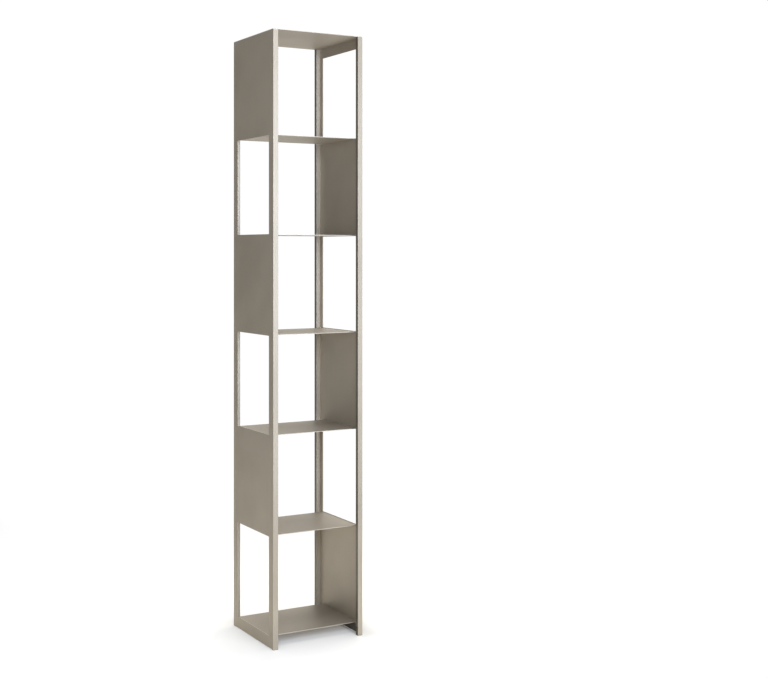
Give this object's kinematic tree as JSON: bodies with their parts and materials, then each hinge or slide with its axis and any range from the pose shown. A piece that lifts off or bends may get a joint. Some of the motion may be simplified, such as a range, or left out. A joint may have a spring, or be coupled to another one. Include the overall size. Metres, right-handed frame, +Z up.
{
  "type": "shelving tower",
  "caption": "Tall, narrow free-standing shelving tower of satin sheet metal, open at front and back, with side panels that are closed and cut away by turns.",
  "frame": {"origin": "on the floor, under the middle of the tower's plan", "axes": "+Z up, +X to the right-hand side, -Y to the front"},
  "size_m": [0.36, 0.352, 2.2],
  "materials": {
    "satin_metal": "satin, warm nickel tone, fine and even",
    "cap_plastic": "matt moulded plastic, warm grey",
    "zinc_steel": "zinc plated",
    "pad_plastic": "matt moulded plastic, black"
  },
  "bodies": {
    "tower": {"front_left_post": "satin_metal", "front_right_post": "satin_metal", "rear_left_post": "satin_metal", "rear_right_post": "satin_metal", "left_side_panel": "satin_metal", "right_side_panel": "satin_metal", "top_panel": "satin_metal", "shelf_1": "satin_metal", "shelf_2": "satin_metal", "shelf_3": "satin_metal", "shelf_4": "satin_metal", "shelf_5": "satin_metal", "bottom_shelf": "satin_metal", "front_left_end_cap": "cap_plastic", "front_right_end_cap": "cap_plastic", "rear_left_end_cap": "cap_plastic", "rear_right_end_cap": "cap_plastic"},
    "front_left_foot": {"front_left_foot_stem": "zinc_steel", "front_left_foot_pad": "pad_plastic"},
    "front_right_foot": {"front_right_foot_stem": "zinc_steel", "front_right_foot_pad": "pad_plastic"},
    "rear_left_foot": {"rear_left_foot_stem": "zinc_steel", "rear_left_foot_pad": "pad_plastic"},
    "rear_right_foot": {"rear_right_foot_stem": "zinc_steel", "rear_right_foot_pad": "pad_plastic"}
  },
  "joints": [
    {"name": "front_left_foot_height", "type": "slide", "parent": "tower", "child": "front_left_foot", "axis": [0, 0, -1], "range_m": [0, 0.008]},
    {"name": "front_right_foot_height", "type": "slide", "parent": "tower", "child": "front_right_foot", "axis": [0, 0, -1], "range_m": [0, 0.008]},
    {"name": "rear_left_foot_height", "type": "slide", "parent": "tower", "child": "rear_left_foot", "axis": [0, 0, -1], "range_m": [0, 0.008]},
    {"name": "rear_right_foot_height", "type": "slide", "parent": "tower", "child": "rear_right_foot", "axis": [0, 0, -1], "range_m": [0, 0.008]}
  ]
}
